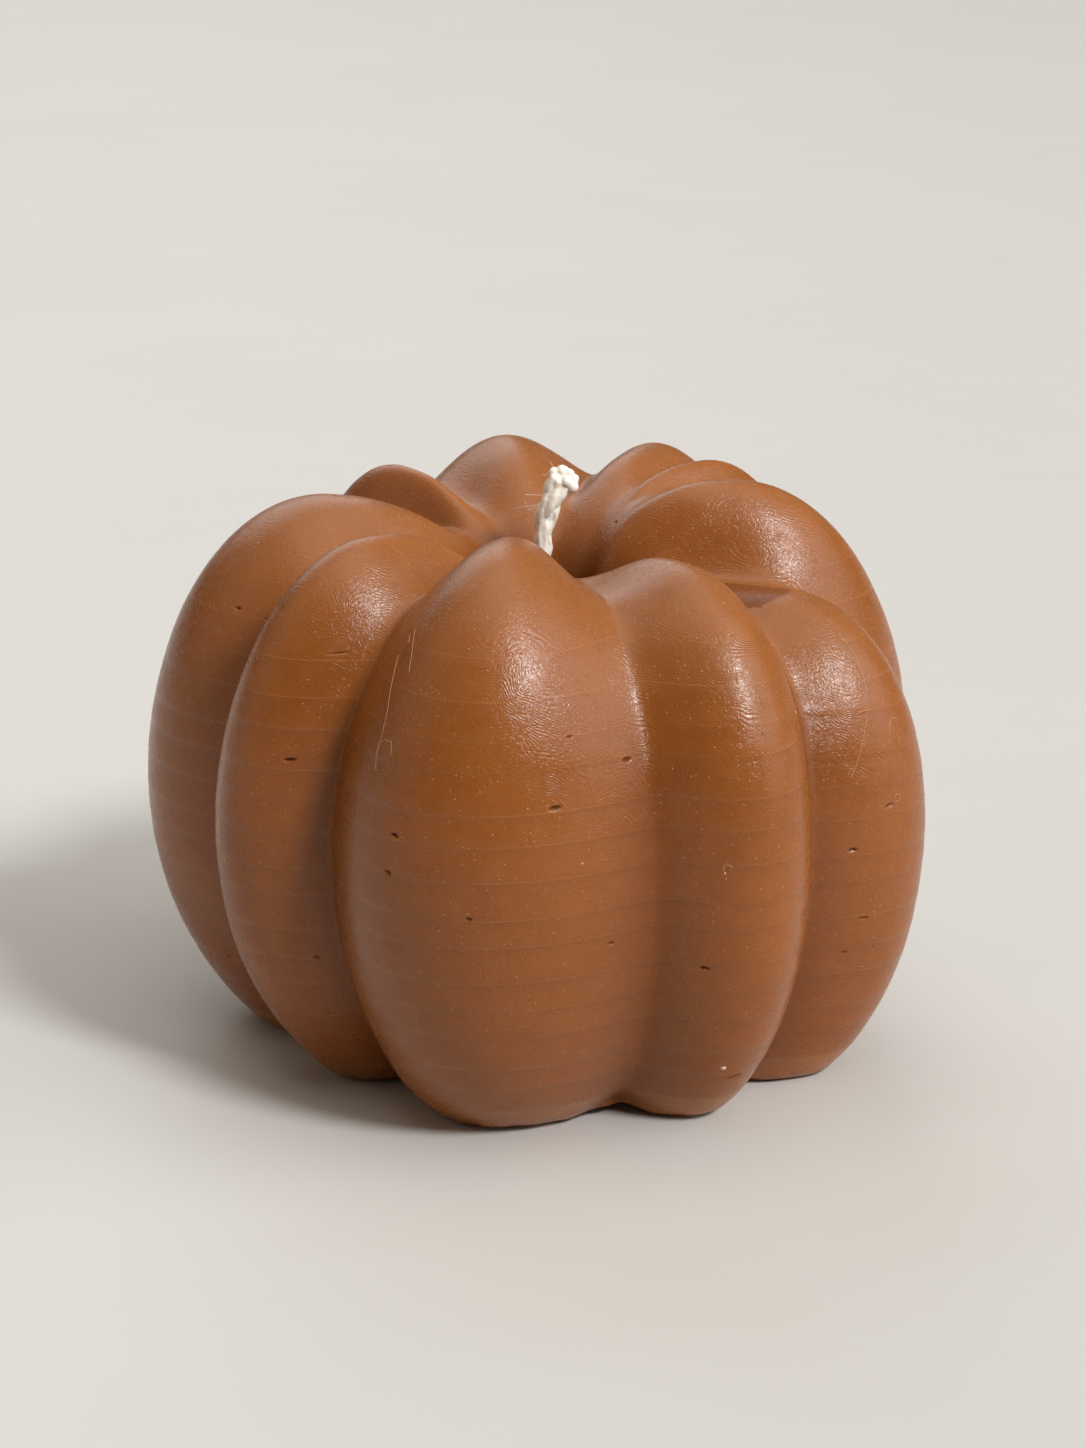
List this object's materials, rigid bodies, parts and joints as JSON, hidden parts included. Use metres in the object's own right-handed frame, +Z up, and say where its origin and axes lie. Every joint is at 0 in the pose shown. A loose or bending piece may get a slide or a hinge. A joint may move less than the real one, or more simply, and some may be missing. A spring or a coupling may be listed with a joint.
{
  "type": "pumpkin shaped candle",
  "caption": "Moulded wax candle in the shape of a lobed pumpkin, with a deep well in its top, a flat underside and a plaited cotton wick standing in the well.",
  "frame": {"origin": "on the table, under the middle of the candle's outline", "axes": "+Z up along the bore, -Y towards the widest front lobe, +X to the right seen from the front"},
  "size_m": [0.0839, 0.0847, 0.0636],
  "materials": {
    "wax": "caramel brown wax with a soft satin sheen",
    "cotton": "off-white plaited cotton, primed with wax"
  },
  "bodies": {
    "root": {"wax_body": "wax", "wick": "cotton"}
  },
  "joints": []
}
